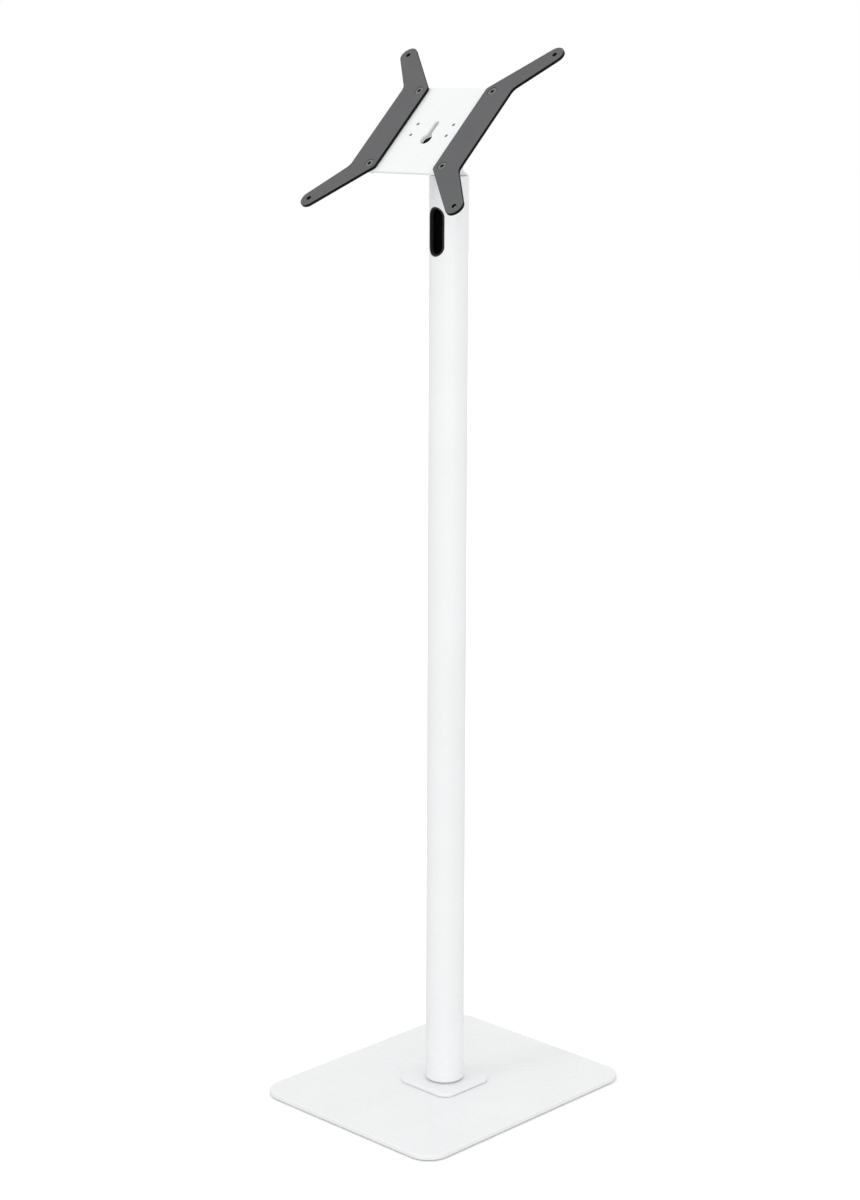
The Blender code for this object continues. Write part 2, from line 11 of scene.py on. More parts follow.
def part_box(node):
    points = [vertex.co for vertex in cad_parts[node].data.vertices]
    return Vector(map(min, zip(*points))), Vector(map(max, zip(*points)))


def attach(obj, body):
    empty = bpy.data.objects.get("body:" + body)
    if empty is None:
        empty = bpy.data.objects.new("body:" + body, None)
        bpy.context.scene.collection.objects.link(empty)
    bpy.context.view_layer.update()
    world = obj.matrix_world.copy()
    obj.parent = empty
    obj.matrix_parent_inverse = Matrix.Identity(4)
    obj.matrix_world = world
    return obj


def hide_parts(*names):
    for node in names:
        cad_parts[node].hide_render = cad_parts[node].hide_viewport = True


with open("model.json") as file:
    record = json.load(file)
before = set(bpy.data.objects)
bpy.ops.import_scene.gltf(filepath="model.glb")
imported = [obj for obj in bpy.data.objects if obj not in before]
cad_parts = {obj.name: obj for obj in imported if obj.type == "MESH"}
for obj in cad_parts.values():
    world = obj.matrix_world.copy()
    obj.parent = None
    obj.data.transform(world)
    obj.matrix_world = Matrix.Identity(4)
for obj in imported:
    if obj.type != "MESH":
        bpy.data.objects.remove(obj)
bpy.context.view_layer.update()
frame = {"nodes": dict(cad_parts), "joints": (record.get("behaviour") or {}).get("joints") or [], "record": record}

MM = 0.001
MICRON = 1e-6


# ---------------------------------------------------------------- places read from the frame

def joint(name):
    return next(j for j in frame["joints"] if j["name"] == name)


def plate_frame():
    """The tilting plate's own frame at rest: origin on the tilt axis, Z along the plate's normal."""
    faces = {m["name"]: m for m in frame["record"]["mounts"]}
    normal = Vector(faces["display_face_left"]["axis"]).normalized()
    across = Vector(joint("tilt")["axis"]).normalized()
    turn = Matrix((across, normal.cross(across), normal)).transposed().to_4x4()
    return Matrix.Translation(Vector(joint("tilt")["pos_m"])) @ turn


PIVOT = Vector(joint("tilt")["pos_m"])
PLATE_FRAME = plate_frame()

# Sizes that no node's box gives. Corners, bores, holes, shanks, the spigot, the boss and the arm's tip
# are given by their radius, and offsets are measured from the middle of the plate.
BASE_CORNER, FOOT_CORNER, PLATE_CORNER = 25 * MM, 12.5 * MM, 5 * MM
POLE_WALL = 2 * MM
LINER_FLANGE, LINER_GAP = 2.5 * MM, 0.3 * MM
RING_BORE = 13 * MM
BUSH_BORE = 15.5 * MM
LOCK_HOLE = 3 * MM
BASE_BOLT_SHANK, FOOT_SCREW_SHANK = 5 * MM, 2.5 * MM
FOOT_BOLT_HOLE = 5.3 * MM
SCREW_GAP = 0.3 * MM
HEAD_GAP = 0.15 * MM
SPIGOT, SPIGOT_GROOVE = 15.2 * MM, 13.2 * MM
BOSS = 11 * MM
BOLT_BORE = 4.3 * MM
LUG_HALF_WIDTH = 8 * MM
FLANGE_THICKNESS, FLANGE_DEPTH = 3 * MM, 36 * MM
KEYHOLE_RADIUS, KEYHOLE_SLOT = 6.8 * MM, 3.3 * MM
KEYHOLE_LOW, KEYHOLE_HIGH = -12 * MM, 8.4 * MM
# POCKET_PAINT is how far the white paint reaches down the pocket; below it the pocket is painted near black as
# shade.
POCKET_FLOOR, POCKET_PAINT = 13 * MM, 1.6 * MM
FLANGE_SCREWS = ("flange_screw_1", "flange_screw_2", "flange_screw_3", "flange_screw_4")
ARM_SCREWS = ("arm_screw_1", "arm_screw_2", "arm_screw_3", "arm_screw_4")
ARM_TIP, ARM_TIP_HOLE = 9.8 * MM, 2.5 * MM
ARM_BEND_HEIGHT, ARM_OUTER_EDGE = 54 * MM, 74.5 * MM
ARM_SCREW_OFFSET, ARM_TIP_OFFSET = 50 * MM, 100 * MM
ARM_SCREW_SHANK = 2.5 * MM


def plate_box(node):
    """A node's lowest and highest corner in the plate's frame."""
    back = PLATE_FRAME.inverted()
    spots = [back @ v.co for v in frame["nodes"][node].data.vertices]
    return (Vector([min(s[i] for s in spots) for i in range(3)]),
            Vector([max(s[i] for s in spots) for i in range(3)]))


def middle(box):
    return (box[0] + box[1]) / 2


# ---------------------------------------------------------------- outlines

def arc(centre, radius, start, end, steps):
    turns = [math.radians(start + (end - start) * i / steps) for i in range(steps + 1)]
    return [(centre[0] + radius * math.cos(a), centre[1] + radius * math.sin(a)) for a in turns]


def rounded(corners, steps=8):
    """A polygon's outline from (x, y, radius) corners, each turned into an arc of its radius."""
    points = []
    for i, (x, y, radius) in enumerate(corners):
        if radius == 0:
            points.append((x, y))
            continue
        here = Vector((x, y))
        back = (Vector(corners[i - 1][:2]) - here).normalized()
        ahead = (Vector(corners[(i + 1) % len(corners)][:2]) - here).normalized()
        half = math.acos(max(-1, min(1, back.dot(ahead)))) / 2
        centre = here + (back + ahead).normalized() * (radius / math.sin(half))
        start = here + back * (radius / math.tan(half)) - centre
        end = here + ahead * (radius / math.tan(half)) - centre
        turn = start.angle_signed(end)
        turns = [Matrix.Rotation(-turn * k / steps, 2) for k in range(steps + 1)]
        points += [tuple(centre + step @ start) for step in turns]
    return points


def rectangle(width, depth, radius=0.0, steps=10):
    x, y = width / 2, depth / 2
    return rounded([(x, -y, radius), (x, y, radius), (-x, y, radius), (-x, -y, radius)], steps)


def obround(width, height):
    reach = (height - width) / 2
    return arc((0, reach), width / 2, 0, 180, 24) + arc((0, -reach), width / 2, 180, 360, 24)


def hexagon(across_flats):
    return arc((0, 0), across_flats / math.sqrt(3), 0, 300, 5)


def tangent(point, centre, radius, side):
    """Where the line from the point touches the circle, on its left (1) or right (-1) side."""
    away = Vector(centre) - Vector(point)
    angle = math.atan2(away.y, away.x) + side * math.asin(radius / away.length)
    reach = math.sqrt(away.length ** 2 - radius ** 2)
    return (point[0] + reach * math.cos(angle), point[1] + reach * math.sin(angle))


# ---------------------------------------------------------------- solids

def prism(outline, low, high):
    solid = bmesh.new()
    lower = [solid.verts.new((x, y, low)) for x, y in outline]
    upper = [solid.verts.new((x, y, high)) for x, y in outline]
    solid.faces.new(lower)
    solid.faces.new(upper)
    for i in range(len(outline)):
        solid.faces.new((lower[i - 1], lower[i], upper[i], upper[i - 1]))
    return solid


def turned(profile, segments=64):
    """An outline of (radius, height) points turned about Z; it closes on the axis or on itself."""
    solid = bmesh.new()
    rings = []
    for radius, height in profile:
        count = 1 if radius == 0 else segments
        turns = [2 * math.pi * k / count for k in range(count)]
        spots = [(radius * math.cos(a), radius * math.sin(a), height) for a in turns]
        rings.append([solid.verts.new(spot) for spot in spots])
    pairs = list(zip(rings, rings[1:]))
    if profile[0][0] and profile[-1][0]:
        pairs.append((rings[-1], rings[0]))
    for first, second in pairs:
        for k in range(segments):
            corners = [first[k - 1], first[k]] if len(first) > 1 else [first[0]]
            corners += [second[k], second[k - 1]] if len(second) > 1 else [second[0]]
            solid.faces.new(corners)
    return solid


def rod(radius, low, high, segments=48):
    return turned([(0, low), (radius, low), (radius, high), (0, high)], segments)


def moved(solid, matrix):
    solid.transform(matrix)
    return solid


def at(x=0.0, y=0.0, z=0.0):
    return Matrix.Translation((x, y, z))


ALONG_X = Matrix(((0, 0, 1, 0), (1, 0, 0, 0), (0, 1, 0, 0), (0, 0, 0, 1)))
ALONG_Y = Matrix(((1, 0, 0, 0), (0, 0, 1, 0), (0, 1, 0, 0), (0, 0, 0, 1)))
ON_PIVOT = Matrix.Translation(PIVOT) @ ALONG_X


def body(name, solid):
    """A mesh object from a bmesh."""
    bmesh.ops.recalc_face_normals(solid, faces=solid.faces)
    mesh = bpy.data.meshes.new(name)
    solid.to_mesh(mesh)
    solid.free()
    made = bpy.data.objects.new(name, mesh)
    bpy.context.scene.collection.objects.link(made)
    return made


def settle(piece):
    """Applies the piece's modifiers to its mesh."""
    graph = bpy.context.evaluated_depsgraph_get()
    mesh = bpy.data.meshes.new_from_object(piece.evaluated_get(graph))
    piece.modifiers.clear()
    piece.data = mesh
    return piece


def combine(piece, solid, operation):
    other = body("tool", solid)
    step = piece.modifiers.new("combine", "BOOLEAN")
    step.operation = operation
    step.solver = "EXACT"
    step.object = other
    settle(piece)
    bpy.data.objects.remove(other)
    return piece


def cut(piece, *solids):
    for solid in solids:
        combine(piece, solid, "DIFFERENCE")
    return piece


def soften(piece, width, segments=4, angle=40):
    """Rounds every edge sharper than the angle."""
    step = piece.modifiers.new("soften", "BEVEL")
    step.width = width
    step.segments = segments
    step.limit_method = "ANGLE"
    step.angle_limit = math.radians(angle)
    step.use_clamp_overlap = True
    return settle(piece)


def shade(piece):
    """Smooth over curves and crisp at edges, with flat faces kept flat."""
    piece.data.shade_smooth()
    piece.data.set_sharp_from_angle(angle=math.radians(32))
    step = piece.modifiers.new("flat_faces", "WEIGHTED_NORMAL")
    step.keep_sharp = True
    step.weight = 100
    return piece


def shade_round(piece):
    """Exact normals of a shape turned about the vertical: radial on its walls, flat elsewhere."""
    mesh = piece.data
    normals = []
    for face in mesh.polygons:
        for corner in face.vertices:
            spot = mesh.vertices[corner].co
            out = Vector((spot.x, spot.y, 0)).normalized()
            along = face.normal.dot(out)
            normals.append(out * math.copysign(1, along) if abs(along) > 0.995 else face.normal)
    mesh.shade_smooth()
    mesh.normals_split_custom_set(normals)
    return piece


def dress(piece, skin, slot, rides, *nodes):
    """Gives a piece its material and its body, and hides the CAD nodes it stands for."""
    if not piece.data.materials:
        piece.data.materials.append(skin)
    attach(piece, rides)
    if nodes:
        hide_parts(*nodes)
    return piece


# ---------------------------------------------------------------- materials

class Skin:
    """A Principled material with small helpers for its texture nodes, mapped in metres."""

    def __init__(self, name, roughness, metallic=0.0, coat=0.0, specular=0.5):
        self.material = bpy.data.materials.new(name)
        self.material.use_nodes = True
        self.nodes = self.material.node_tree.nodes
        self.links = self.material.node_tree.links
        self.shader = self.nodes["Principled BSDF"]
        self.shader.inputs["Roughness"].default_value = roughness
        self.shader.inputs["Metallic"].default_value = metallic
        self.shader.inputs["Coat Weight"].default_value = coat
        self.shader.inputs["Coat Roughness"].default_value = 0.2
        self.shader.inputs["Specular IOR Level"].default_value = specular
        self.place = self.nodes.new("ShaderNodeTexCoord").outputs["Object"]

    def stretched(self, x, y, z):
        step = self.nodes.new("ShaderNodeMapping")
        step.inputs["Scale"].default_value = (x, y, z)
        self.links.new(self.place, step.inputs["Vector"])
        return step.outputs["Vector"]

    def noise(self, size, detail, where=None):
        """Noise whose features are about size metres across."""
        step = self.nodes.new("ShaderNodeTexNoise")
        step.inputs["Scale"].default_value = 1 / size
        step.inputs["Detail"].default_value = detail
        self.links.new(where or self.place, step.inputs["Vector"])
        return step.outputs["Fac"]

    def speckle(self, size):
        step = self.nodes.new("ShaderNodeTexVoronoi")
        step.inputs["Scale"].default_value = 1 / size
        self.links.new(self.place, step.inputs["Vector"])
        return step.outputs["Distance"]

    def spread(self, value, low, high, start=0.3, end=0.7):
        """Maps an output's range from start to end onto low to high."""
        step = self.nodes.new("ShaderNodeMapRange")
        step.inputs["From Min"].default_value = start
        step.inputs["From Max"].default_value = end
        step.inputs["To Min"].default_value = low
        step.inputs["To Max"].default_value = high
        self.links.new(value, step.inputs["Value"])
        return step.outputs["Result"]

    def blended(self, factor, first, second):
        """A colour between two, by a factor output."""
        step = self.nodes.new("ShaderNodeMix")
        step.data_type = "RGBA"
        self.links.new(factor, step.inputs[0])
        for socket, colour in ((step.inputs[6], first), (step.inputs[7], second)):
            if isinstance(colour, tuple):
                socket.default_value = (*colour, 1)
            else:
                self.links.new(colour, socket)
        return step.outputs[2]

    def colour(self, output):
        self.links.new(output, self.shader.inputs["Base Color"])

    def roughness(self, output):
        self.links.new(output, self.shader.inputs["Roughness"])

    def mottle(self, size, detail, first, second):
        """Colours the surface in soft patches of two tints, about size metres across."""
        self.colour(self.blended(self.spread(self.noise(size, detail), 0, 1), first, second))

    def wear(self, size, detail, low, high):
        """Makes the roughness wander between two values."""
        self.roughness(self.spread(self.noise(size, detail), low, high))

    def bump(self, *layers):
        """Adds relief from layers of (output, depth in metres)."""
        normal = None
        for height, depth in layers:
            step = self.nodes.new("ShaderNodeBump")
            step.inputs["Distance"].default_value = depth
            self.links.new(height, step.inputs["Height"])
            if normal is not None:
                self.links.new(normal, step.inputs["Normal"])
            normal = step.outputs["Normal"]
        self.links.new(normal, self.shader.inputs["Normal"])


def shades(colour, amount):
    """A colour made darker and lighter by a share of itself."""
    return tuple(c * (1 - amount) for c in colour), tuple(min(1.0, c * (1 + amount)) for c in colour)


def white_powder_coat():
    skin = Skin("white_powder_coat", 0.3, coat=0.2)
    skin.mottle(60 * MM, 1, *shades((0.83, 0.84, 0.845), 0.012))
    skin.wear(20 * MM, 1, 0.24, 0.32)
    skin.bump((skin.noise(10 * MM, 0), 7 * MICRON), (skin.noise(2.5 * MM, 0), MICRON))
    return skin.material


def dark_powder_coat():
    """The arms' faces: dark grey with a fine darker grain."""
    skin = Skin("dark_powder_coat", 0.48, specular=0.25)
    low, high = shades((0.108, 0.109, 0.112), 0.05)
    base = skin.blended(skin.spread(skin.noise(30 * MM, 3), 0, 1), low, high)
    grain = skin.spread(skin.speckle(0.55 * MM), 0, 0.35, 0.1, 0.6)
    skin.colour(skin.blended(grain, base, (0.075, 0.076, 0.079)))
    skin.wear(1.3 * MM, 2, 0.42, 0.56)
    skin.bump((skin.noise(0.6 * MM, 2), 14 * MICRON), (skin.noise(2.6 * MM, 1), 10 * MICRON))
    return skin.material


def dark_screw_coat():
    """The arm screws' coat: the arms' grey, smoother and a little rubbed."""
    skin = Skin("dark_screw_coat", 0.34, specular=0.6)
    skin.mottle(1.2 * MM, 3, (0.110, 0.111, 0.114), (0.140, 0.141, 0.144))
    skin.wear(0.7 * MM, 3, 0.28, 0.45)
    skin.bump((skin.noise(0.3 * MM, 2), 6 * MICRON))
    return skin.material


def bare_metal_and_painted_shade():
    """Unpainted insides: dark mill scale with brownish patches, made near black as painted shade inside the pole,
    the knuckle's pocket and the screw sockets.
    """
    skin = Skin("bare_metal_painted_shade", 0.6, specular=0.2)
    skin.mottle(7 * MM, 4, (0.006, 0.006, 0.007), (0.013, 0.011, 0.010))
    skin.wear(3 * MM, 3, 0.5, 0.75)
    skin.bump((skin.noise(1.5 * MM, 3), 30 * MICRON))
    return skin.material


def painted_shade_edge():
    """The arms' sides and rounded edges, painted near black as the shade that falls on them, with fine marks
    across the thickness like laser-cut sides.
    """
    skin = Skin("painted_shade_cut_edge", 0.5, specular=0.08)
    marks = skin.noise(0.4 * MM, 2, skin.stretched(1, 1, 0.25))
    skin.colour(skin.blended(skin.spread(marks, 0, 1), (0.003, 0.003, 0.0035), (0.007, 0.007, 0.0075)))
    skin.roughness(skin.spread(marks, 0.45, 0.62))
    skin.bump((marks, 14 * MICRON))
    return skin.material


def painted_casting():
    """White paint over the slightly uneven skin of a casting."""
    skin = Skin("white_painted_casting", 0.42, specular=0.45)
    skin.mottle(8 * MM, 4, *shades((0.80, 0.81, 0.815), 0.06))
    skin.wear(2 * MM, 3, 0.36, 0.52)
    skin.bump((skin.noise(1.5 * MM, 1), 4 * MICRON), (skin.noise(5 * MM, 1), 10 * MICRON))
    return skin.material


def machined_face_and_shade():
    """The unpainted face of the casting under the plate, with fine cutting marks across it, its grey made darker
    than the white casting as painted shade where it shows through the keyhole.
    """
    skin = Skin("machined_aluminium_painted_shade", 0.45, metallic=0.2)
    marks = skin.noise(0.8 * MM, 3, skin.stretched(1, 0.15, 0.15))
    skin.colour(skin.blended(skin.spread(marks, 0, 1), (0.48, 0.48, 0.49), (0.58, 0.58, 0.59)))
    skin.roughness(skin.spread(marks, 0.38, 0.55))
    skin.bump((marks, 8 * MICRON))
    return skin.material


def black_oxide():
    skin = Skin("black_oxide_steel", 0.36, metallic=0.75)
    skin.mottle(1.6 * MM, 4, (0.018, 0.018, 0.020), (0.045, 0.044, 0.043))
    skin.wear(0.7 * MM, 3, 0.28, 0.46)
    skin.bump((skin.noise(0.3 * MM, 2), 5 * MICRON))
    return skin.material


def zinc():
    skin = Skin("zinc_plated_steel", 0.3, metallic=1.0)
    skin.mottle(3 * MM, 4, (0.50, 0.51, 0.53), (0.66, 0.65, 0.61))
    skin.wear(0.9 * MM, 3, 0.22, 0.42)
    skin.bump((skin.noise(0.25 * MM, 2), 4 * MICRON))
    return skin.material


def black_rubber():
    skin = Skin("black_rubber", 0.72, specular=0.3)
    skin.mottle(5 * MM, 3, (0.010, 0.010, 0.010), (0.020, 0.020, 0.020))
    skin.wear(1 * MM, 3, 0.62, 0.82)
    skin.bump((skin.noise(0.35 * MM, 3), 12 * MICRON))
    return skin.material


def pale_rubber_shade_line():
    """The light grey rubber of the ring under the pole, its grey standing in as painted shade for the soft shadow
    line where the pole meets the foot plate.
    """
    skin = Skin("pale_grey_rubber_painted_shade", 0.65, specular=0.3)
    skin.mottle(5 * MM, 3, (0.50, 0.50, 0.50), (0.58, 0.58, 0.58))
    skin.wear(1 * MM, 3, 0.55, 0.75)
    skin.bump((skin.noise(0.35 * MM, 3), 10 * MICRON))
    return skin.material


def moulded_plastic():
    skin = Skin("black_acetal", 0.42, specular=0.45)
    skin.mottle(6 * MM, 2, (0.016, 0.016, 0.017), (0.028, 0.028, 0.030))
    skin.wear(0.8 * MM, 2, 0.36, 0.5)
    skin.bump((skin.noise(0.4 * MM, 2), 6 * MICRON))
    return skin.material


# ---------------------------------------------------------------- screws and nuts

def screw_body(name, head, shank, length, socket, depth, pitch=0.8 * MM):
    """A countersunk hexagon-socket screw: its head's face is at 0 and its tip is at -length."""
    rim = 0.35 * MM
    neck = -(rim + head - shank)
    turns = int((length + neck - 0.8 * MM) / pitch)
    root = shank - 0.3 * pitch
    thread = []
    for k in range(turns):
        z = neck - 0.3 * MM - k * pitch
        thread += [(shank, z), (shank, z - 0.12 * pitch),
                   (root, z - 0.5 * pitch), (shank, z - 0.88 * pitch)]
    edge = [(head - 0.22 * MM, 0), (head - 0.06 * MM, -0.06 * MM), (head, -0.2 * MM), (head, -rim)]
    tip = [(shank, -length + 0.4 * MM), (shank - 0.4 * MM, -length), (0, -length)]
    piece = body(name, turned([(0, 0), *edge, (shank + 0.1 * MM, neck), *thread, *tip], 48))
    wide, lip = socket / math.sqrt(3), 0.25 * MM
    mouth = [(0, 0.2 * MM), (wide + 0.35 * MM, 0.2 * MM), (wide - 0.1 * MM, -lip), (0, -lip)]
    return cut(piece, prism(hexagon(socket), -depth, MM), turned(mouth, 48))


def nut_body(name, across_flats, height, bore):
    """A hexagon nut standing on 0, its corners turned off as on a real one."""
    piece = body(name, prism(hexagon(across_flats), 0, height))
    corner = across_flats / math.sqrt(3)
    drop = (corner - across_flats / 2) * 0.62 + 0.06 * MM
    reach = corner + 0.1 * MM
    flat = across_flats / 2 - 0.05 * MM
    lathe = [(0, 0), (flat, 0), (reach, drop), (reach, height - drop), (flat, height), (0, height)]
    combine(piece, turned(lathe, 48), "INTERSECT")
    sink = 0.5 * MM
    wide = bore + sink + MM
    hole = [(0, -MM), (wide, -MM), (bore, sink),
            (bore, height - sink), (wide, height + MM), (0, height + MM)]
    return cut(piece, turned(hole, 40))


def placed_copies(first, name, matrices, skin, slot, rides, nodes):
    """Copies of one mesh, each baked into its own place, standing for one CAD node each."""
    for number, (matrix, node) in enumerate(zip(matrices, nodes), 1):
        mesh = first.data.copy()
        mesh.transform(matrix)
        piece = bpy.data.objects.new(f"{name}_{number}", mesh)
        bpy.context.scene.collection.objects.link(piece)
        dress(shade(piece), skin, slot, rides, node)
    bpy.data.objects.remove(first)


# ---------------------------------------------------------------- stand

def build_base(white):
    low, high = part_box("base_plate")
    size = high - low
    piece = body("base_plate_steel", prism(rectangle(size.x, size.y, BASE_CORNER, 16), low.z, high.z))
    soften(piece, 0.9 * MM, 4)
    for node in ("base_bolt", "foot_screw_1", "foot_screw_2", "foot_screw_3", "foot_screw_4"):
        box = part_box(node)
        centre, head = middle(box), (box[1].x - box[0].x) / 2
        shank = BASE_BOLT_SHANK if node == "base_bolt" else FOOT_SCREW_SHANK
        rim = box[0].z + 0.4 * MM
        mouth, neck = head + SCREW_GAP, shank + SCREW_GAP
        hole = [(0, box[0].z - 2 * MM), (mouth, box[0].z - 2 * MM), (mouth, rim),
                (neck, rim + head - shank), (neck, high.z + MM), (0, high.z + MM)]
        cut(piece, moved(turned(hole, 40), at(centre.x, centre.y)))
    dress(shade(piece), white, "white_powder", "stand", "base_plate")


def build_foot(white):
    low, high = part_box("foot_plate")
    size = high - low
    piece = body("foot_plate_steel", prism(rectangle(size.x, size.y, FOOT_CORNER, 14), low.z, high.z))
    soften(piece, 0.8 * MM, 4)
    cut(piece, rod(FOOT_BOLT_HOLE, low.z - MM, high.z + MM))
    dress(shade(piece), white, "white_powder", "stand", "foot_plate")


def build_pads(black):
    for side in ("front_left", "front_right", "rear_left", "rear_right"):
        low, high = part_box(f"base_pad_{side}")
        centre, radius = (low + high) / 2, (high.x - low.x) / 2
        edge = 0.25 * MM
        profile = [(0, low.z), (radius - edge, low.z), (radius, low.z + edge), (radius, high.z - edge),
                   (radius - edge, high.z), (0, high.z)]
        piece = body(f"pad_{side}", moved(turned(profile, 56), at(centre.x, centre.y)))
        dress(shade(piece), black, "rubber", "stand", f"base_pad_{side}")


def build_pole(white, inside):
    low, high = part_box("pole_tube")
    radius = high.x
    bore = radius - POLE_WALL
    edge = 0.25 * MM
    outside = [(radius - edge, low.z), (radius, low.z + edge),
               (radius, high.z - edge), (radius - edge, high.z)]
    within = [(bore + edge, high.z), (bore, high.z - edge), (bore, low.z + edge)]
    piece = body("pole", turned([(bore + edge, low.z), *outside, *within], 160))
    for node, side in (("cable_grommet_top", -1), ("cable_grommet_bottom", 1)):
        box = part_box(node)
        width = box[1].x - box[0].x - 2 * LINER_FLANGE
        height = box[1].z - box[0].z - 2 * LINER_FLANGE
        reach = (-2 * radius, 0) if side < 0 else (0, 2 * radius)
        window = prism(obround(width, height), *reach)
        cut(piece, moved(moved(window, ALONG_Y), at(z=middle(box).z)))
    lock = middle(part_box("swivel_lock_screw"))
    cut(piece, moved(moved(rod(LOCK_HOLE, 5 * MM, 2 * radius), ALONG_Y), at(z=lock.z)))
    piece.data.materials.append(white)
    piece.data.materials.append(inside)
    # The bore's faces get the near-black unpainted skin, darkened as painted shade so the slots read black.
    for face in piece.data.polygons:
        face.material_index = 1 if Vector(face.center[:2]).length < bore + 0.2 * MM else 0
    dress(shade_round(piece), white, "white_powder", "stand", "pole_tube")


def build_grommets(black):
    """Rubber liners whose rounded section follows each slot round."""
    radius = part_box("pole_tube")[1].x
    lip = LINER_FLANGE
    inside = radius - POLE_WALL - LINER_GAP
    deep, proud = inside - 1.5 * MM, radius + 0.25 * MM
    section = [(2.0 * MM, radius - 0.5 * MM), (1.8 * MM, radius), (1.4 * MM, proud), (0.6 * MM, proud),
               (LINER_GAP, radius), (LINER_GAP, inside), (-lip, inside), (-lip, deep + 0.3 * MM),
               (-lip + 0.3 * MM, deep), (1.7 * MM, deep), (2.0 * MM, deep + 0.3 * MM)]
    for node, side in (("cable_grommet_top", -1), ("cable_grommet_bottom", 1)):
        low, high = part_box(node)
        centre = middle((low, high)).z
        width = high.x - low.x - 2 * lip
        height = high.z - low.z - 2 * lip
        solid = bmesh.new()
        loops = []
        for inset, reach in section:
            outline = obround(width - 2 * inset, height - 2 * inset)
            spots = [(x, side * math.sqrt(reach ** 2 - x ** 2), centre + z) for x, z in outline]
            loops.append([solid.verts.new(spot) for spot in spots])
        for first, second in zip(loops, loops[1:] + loops[:1]):
            for k in range(len(first)):
                solid.faces.new((first[k - 1], first[k], second[k], second[k - 1]))
        piece = body(node.replace("cable_grommet", "slot_liner"), solid)
        dress(shade(piece), black, "rubber", "stand", node)


def build_foot_ring(pale):
    low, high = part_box("pole_seal_ring")
    radius, edge = high.x, 0.3 * MM
    profile = [(RING_BORE, low.z), (radius - edge, low.z), (radius, low.z + edge),
               (radius, high.z - edge), (radius - edge, high.z), (RING_BORE, high.z)]
    piece = body("seal_ring", turned(profile, 96))
    # The ring's grey stands in for the soft contact shadow under the pole: painted shade.
    dress(shade(piece), pale, "rubber", "stand", "pole_seal_ring")


def build_foot_fasteners(steel):
    upside_down = Matrix.Rotation(math.pi, 4, "X")
    low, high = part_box("base_bolt")
    length, pitch = high.z - low.z, 1.5 * MM
    bolt = screw_body("centre_bolt", high.x, BASE_BOLT_SHANK, length, 6 * MM, 3.4 * MM, pitch)
    placed_copies(bolt, "centre_bolt", [at(z=low.z) @ upside_down],
                  steel, "zinc_steel", "stand", ["base_bolt"])
    low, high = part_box("foot_screw_1")
    head = (high.x - low.x) / 2
    screw = screw_body("foot_screw", head, FOOT_SCREW_SHANK, high.z - low.z, 3 * MM, 1.9 * MM)
    nodes = [f"foot_screw_{n}" for n in (1, 2, 3, 4)]
    spots = [middle(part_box(node)) for node in nodes]
    placed_copies(screw, "foot_fixing", [at(s.x, s.y, low.z) @ upside_down for s in spots],
                  steel, "zinc_steel", "stand", nodes)


def build_head_bush(plastic):
    low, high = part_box("head_bush")
    edge = 0.5 * MM
    profile = [(BUSH_BORE, low.z), (high.x, low.z), (high.x, high.z - edge), (high.x - edge, high.z),
               (BUSH_BORE + edge, high.z), (BUSH_BORE, high.z - edge)]
    piece = body("spigot_liner", turned(profile, 96))
    lock = middle(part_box("swivel_lock_screw"))
    cut(piece, moved(moved(rod(LOCK_HOLE, 5 * MM, 30 * MM), ALONG_Y), at(z=lock.z)))
    dress(shade(piece), plastic, "plastic", "stand", "head_bush")


def build_lock_screw(black):
    low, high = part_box("swivel_lock_screw")
    centre, radius = middle((low, high)), (high.x - low.x) / 2
    edge = 0.4 * MM
    profile = [(0, low.y), (radius - edge, low.y), (radius, low.y + edge), (radius, high.y - edge),
               (radius - edge, high.y), (0, high.y)]
    piece = body("grub_screw", turned(profile, 40))
    cut(piece, prism(hexagon(3 * MM), high.y - 2.6 * MM, high.y + MM))
    piece.data.transform(at(z=centre.z) @ ALONG_Y)
    piece.data.flip_normals()
    dress(shade(piece), black, "black_steel", "stand", "swivel_lock_screw")


# ---------------------------------------------------------------- swivel head

def yoke_side():
    """Side outline of the yoke in Y and Z: the shoulder behind and the cheeks that lean forward."""
    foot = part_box("pole_tube")[1].z + HEAD_GAP
    toe, heel = -4.5 * MM, 12.2 * MM
    rear, front = PIVOT.y + BOSS, PIVOT.y - BOSS
    base = rounded([(toe, foot, 0), (heel, foot, 0), (heel, foot + 1.2 * MM, 1 * MM),
                    (rear, foot + 5.1 * MM, 2.2 * MM), (rear, PIVOT.z, 0)], 8)
    lean = rounded([(front, PIVOT.z, 0), (front, PIVOT.z - 7 * MM, 9 * MM), (toe, foot, 0)], 8)
    return base[:-1] + arc((PIVOT.y, PIVOT.z), BOSS, 0, 180, 40) + lean[1:-1]


